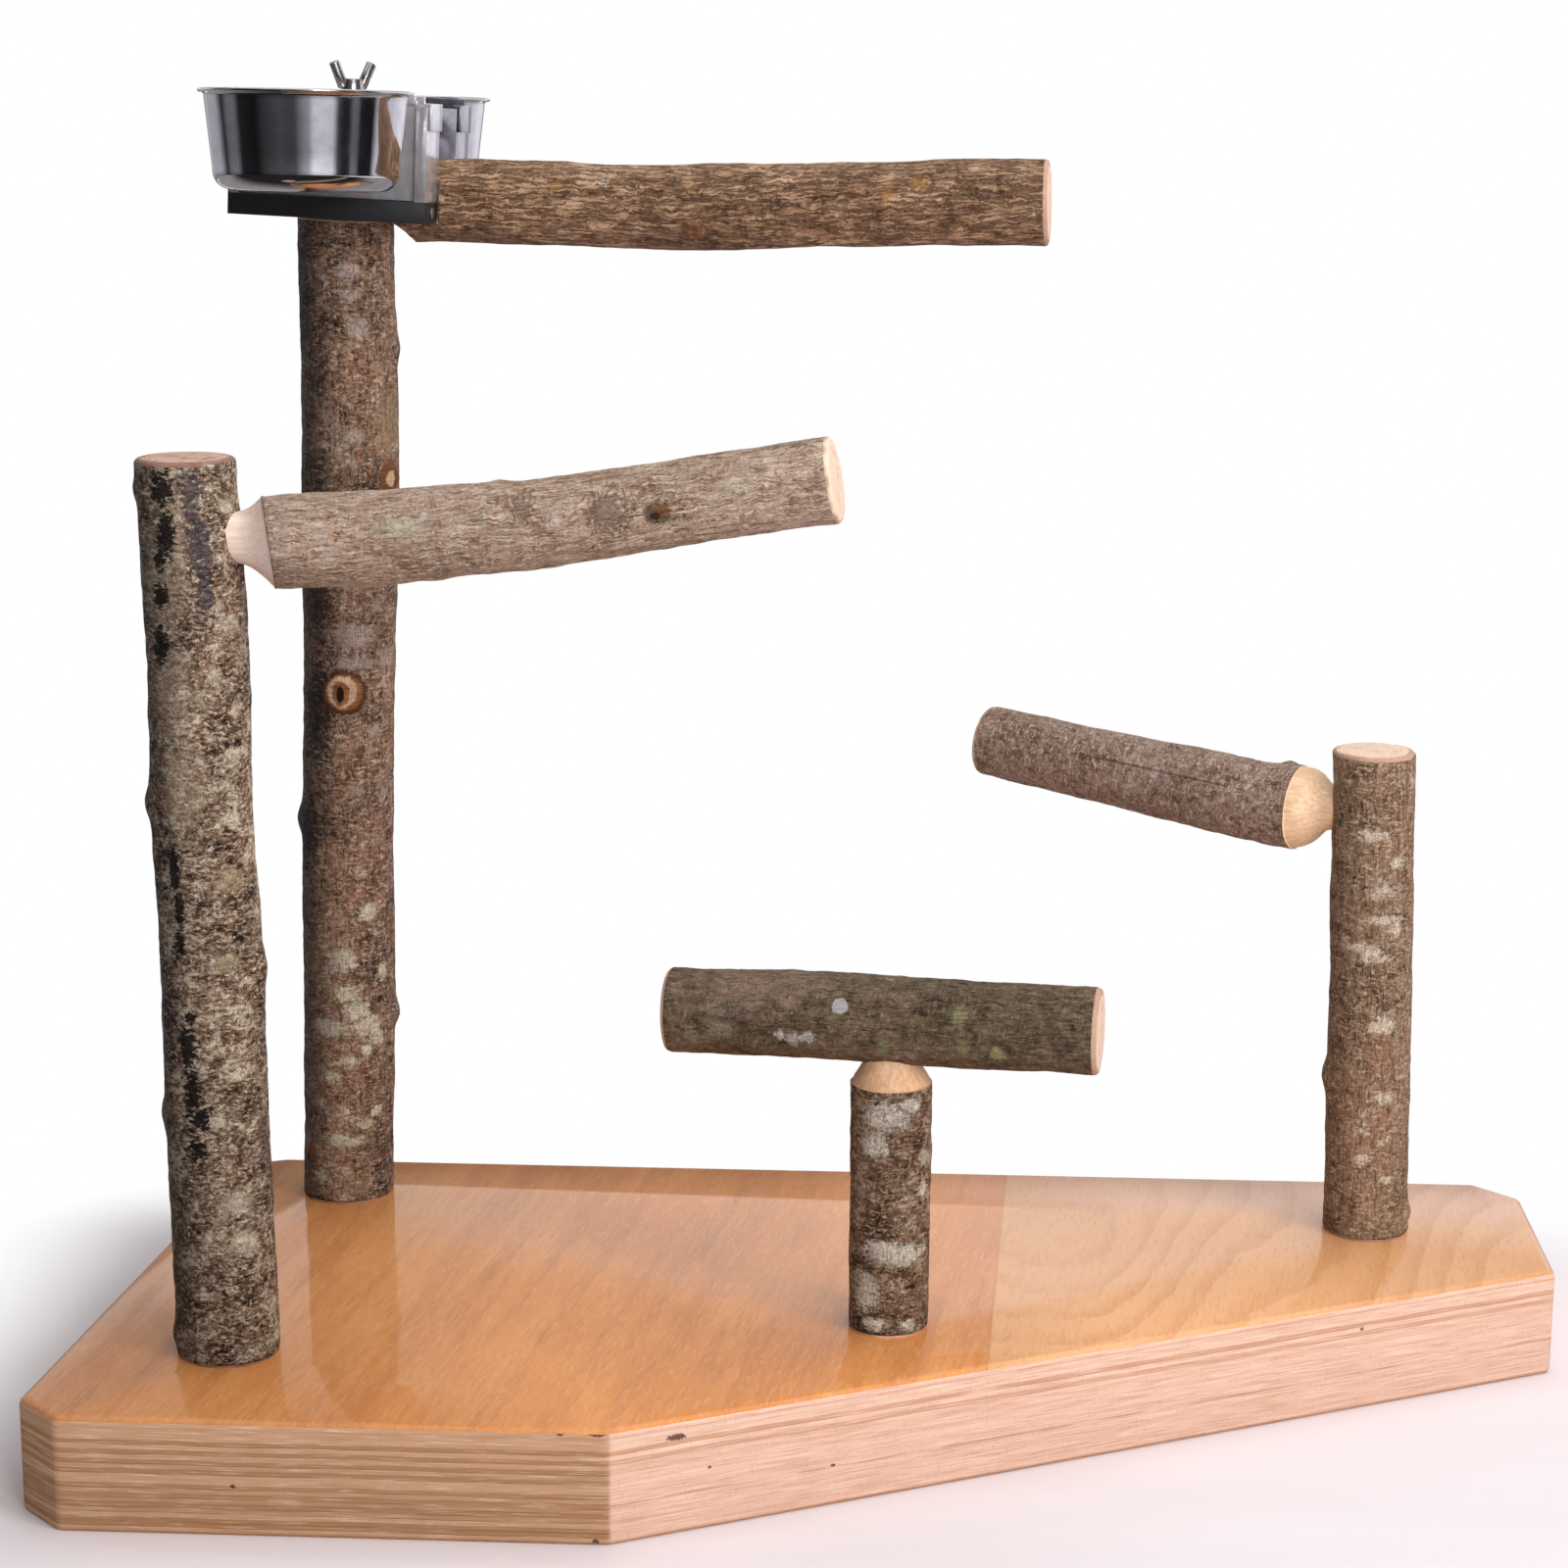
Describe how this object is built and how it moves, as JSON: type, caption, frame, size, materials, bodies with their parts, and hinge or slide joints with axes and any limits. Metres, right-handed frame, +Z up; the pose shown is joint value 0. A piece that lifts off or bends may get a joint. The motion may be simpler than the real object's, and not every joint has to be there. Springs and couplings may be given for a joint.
{
  "type": "parrot play stand",
  "caption": "Plywood board with upright bark-covered branches that carry natural perches, and a holder with lift-out steel feeding bowls.",
  "frame": {"origin": "middle of the board's underside", "axes": "+X along the board's straight back edge, +Y to the back, +Z up"},
  "size_m": [0.66, 0.4116, 0.5876],
  "materials": {
    "plywood": "varnished beech plywood, layered edges",
    "bark": "rough branch bark with sawn or peeled ends",
    "zinc_fasteners": "bright zinc plating",
    "nickel_nut": "worn nickel plating",
    "bracket_steel": "bent stainless sheet",
    "black_rail": "black, satin",
    "bowl_steel": "polished stainless steel",
    "plate_steel": "polished stainless sheet"
  },
  "bodies": {
    "stand": {"base_board": "plywood", "tall_post": "bark", "left_post": "bark", "right_post": "bark", "short_post": "bark", "top_perch": "bark", "left_perch": "bark", "right_perch": "bark", "tee_perch": "bark", "post_bolts": "zinc_fasteners", "post_washers": "zinc_fasteners", "perch_screws": "zinc_fasteners", "threaded_rod": "zinc_fasteners", "perch_washer": "zinc_fasteners", "perch_nut": "zinc_fasteners", "front_bracket": "bracket_steel", "rear_bracket": "bracket_steel", "front_rail": "black_rail", "rear_rail": "black_rail", "rail_screws": "zinc_fasteners", "holder_bridge": "bracket_steel", "bridge_rivets": "bracket_steel", "rod_washer": "zinc_fasteners"},
    "wing_nut": {"wing_nut": "nickel_nut"},
    "front_bowl": {"front_bowl": "bowl_steel", "front_bowl_plate": "plate_steel"},
    "rear_bowl": {"rear_bowl": "bowl_steel", "rear_bowl_plate": "plate_steel"}
  },
  "joints": [
    {"name": "front_bowl_lift", "type": "slide", "parent": "stand", "child": "front_bowl", "axis": [0.0444, 0.0276, 0.9986], "range_m": [0, 0.06]},
    {"name": "rear_bowl_lift", "type": "slide", "parent": "stand", "child": "rear_bowl", "axis": [0.0444, 0.0276, 0.9986], "range_m": [0, 0.06]},
    {"name": "wing_nut_turn", "type": "hinge", "parent": "stand", "child": "wing_nut", "pos_m": [-0.22533, 0.11886, 0.57742], "axis": [0.0444, 0.0276, 0.9986], "continuous": true}
  ]
}
